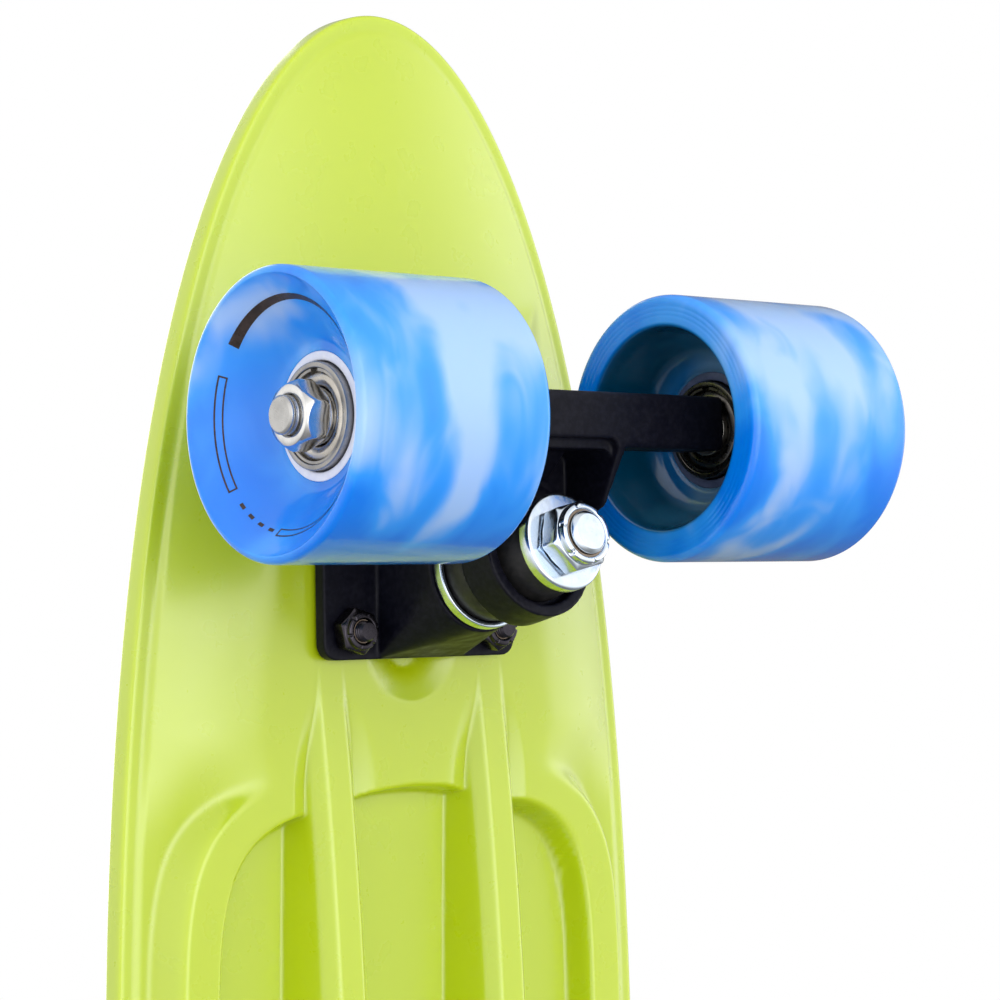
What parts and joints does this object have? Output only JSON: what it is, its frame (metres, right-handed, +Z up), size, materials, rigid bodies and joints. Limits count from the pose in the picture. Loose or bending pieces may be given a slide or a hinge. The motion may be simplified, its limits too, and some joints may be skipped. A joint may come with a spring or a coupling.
{
  "type": "skateboard",
  "caption": "Small plastic cruiser skateboard with a ribbed moulded deck, sprung steering trucks, soft marbled wheels on ball bearings and a kicked-up tail.",
  "frame": {"origin": "under the middle of the board, on the surface that the wheels stand on", "axes": "+X towards the nose, +Y the rider's left, +Z up"},
  "size_m": [0.565, 0.157, 0.1239],
  "materials": {
    "deck_plastic": "glossy moulded plastic, lime green",
    "black_casting": "satin black paint on a casting",
    "black_hardware": "black oxide, slightly glossy",
    "zinc_plate": "bright blue-white zinc plate",
    "steel": "bright steel",
    "black_urethane": "semi-matt black urethane",
    "wheel_urethane": "glossy translucent urethane, blue and white marbled",
    "wheel_core": "white plastic"
  },
  "bodies": {
    "root": {"deck": "deck_plastic", "front_baseplate": "black_casting", "front_pivot_cup": "black_urethane", "front_kingpin": "zinc_plate", "front_kingpin_nut": "zinc_plate", "front_washer_lower": "zinc_plate", "front_washer_upper": "zinc_plate", "front_bushing_lower": "black_urethane", "front_bushing_upper": "black_urethane", "front_deck_bolt_1": "black_hardware", "front_deck_nut_1": "black_hardware", "front_deck_bolt_2": "black_hardware", "front_deck_nut_2": "black_hardware", "front_deck_bolt_3": "black_hardware", "front_deck_nut_3": "black_hardware", "front_deck_bolt_4": "black_hardware", "front_deck_nut_4": "black_hardware", "rear_baseplate": "black_casting", "rear_pivot_cup": "black_urethane", "rear_kingpin": "zinc_plate", "rear_kingpin_nut": "zinc_plate", "rear_washer_lower": "zinc_plate", "rear_washer_upper": "zinc_plate", "rear_bushing_lower": "black_urethane", "rear_bushing_upper": "black_urethane", "rear_deck_bolt_1": "black_hardware", "rear_deck_nut_1": "black_hardware", "rear_deck_bolt_2": "black_hardware", "rear_deck_nut_2": "black_hardware", "rear_deck_bolt_3": "black_hardware", "rear_deck_nut_3": "black_hardware", "rear_deck_bolt_4": "black_hardware", "rear_deck_nut_4": "black_hardware"},
    "front_hanger": {"front_hanger": "black_casting", "front_axle": "steel", "front_left_axle_nut": "steel", "front_right_axle_nut": "steel"},
    "front_left_wheel": {"front_left_wheel_tyre": "wheel_urethane", "front_left_wheel_core": "wheel_core", "front_left_wheel_outer_bearing": "steel", "front_left_wheel_inner_bearing": "steel"},
    "front_right_wheel": {"front_right_wheel_tyre": "wheel_urethane", "front_right_wheel_core": "wheel_core", "front_right_wheel_outer_bearing": "steel", "front_right_wheel_inner_bearing": "steel"},
    "rear_hanger": {"rear_hanger": "black_casting", "rear_axle": "steel", "rear_left_axle_nut": "steel", "rear_right_axle_nut": "steel"},
    "rear_left_wheel": {"rear_left_wheel_tyre": "wheel_urethane", "rear_left_wheel_core": "wheel_core", "rear_left_wheel_outer_bearing": "steel", "rear_left_wheel_inner_bearing": "steel"},
    "rear_right_wheel": {"rear_right_wheel_tyre": "wheel_urethane", "rear_right_wheel_core": "wheel_core", "rear_right_wheel_outer_bearing": "steel", "rear_right_wheel_inner_bearing": "steel"}
  },
  "joints": [
    {"name": "front_steer", "type": "hinge", "parent": "root", "child": "front_hanger", "pos_m": [0.15442, 0, 0.0433], "axis": [0.848, 0, 0.5299], "range_deg": [-12, 12], "stiffness_Nm_per_rad": 60, "deforming": ["front_bushing_lower", "front_bushing_upper"]},
    {"name": "front_left_wheel_spin", "type": "hinge", "parent": "front_hanger", "child": "front_left_wheel", "pos_m": [0.1828, 0.0555, 0.03], "axis": [0, 1, 0], "continuous": true},
    {"name": "front_right_wheel_spin", "type": "hinge", "parent": "front_hanger", "child": "front_right_wheel", "pos_m": [0.1828, -0.0555, 0.03], "axis": [0, 1, 0], "continuous": true},
    {"name": "rear_steer", "type": "hinge", "parent": "root", "child": "rear_hanger", "pos_m": [-0.12382, 0, 0.0433], "axis": [-0.848, 0, 0.5299], "range_deg": [-12, 12], "stiffness_Nm_per_rad": 60, "deforming": ["rear_bushing_lower", "rear_bushing_upper"]},
    {"name": "rear_left_wheel_spin", "type": "hinge", "parent": "rear_hanger", "child": "rear_left_wheel", "pos_m": [-0.1522, 0.0555, 0.03], "axis": [0, 1, 0], "continuous": true},
    {"name": "rear_right_wheel_spin", "type": "hinge", "parent": "rear_hanger", "child": "rear_right_wheel", "pos_m": [-0.1522, -0.0555, 0.03], "axis": [0, 1, 0], "continuous": true}
  ]
}
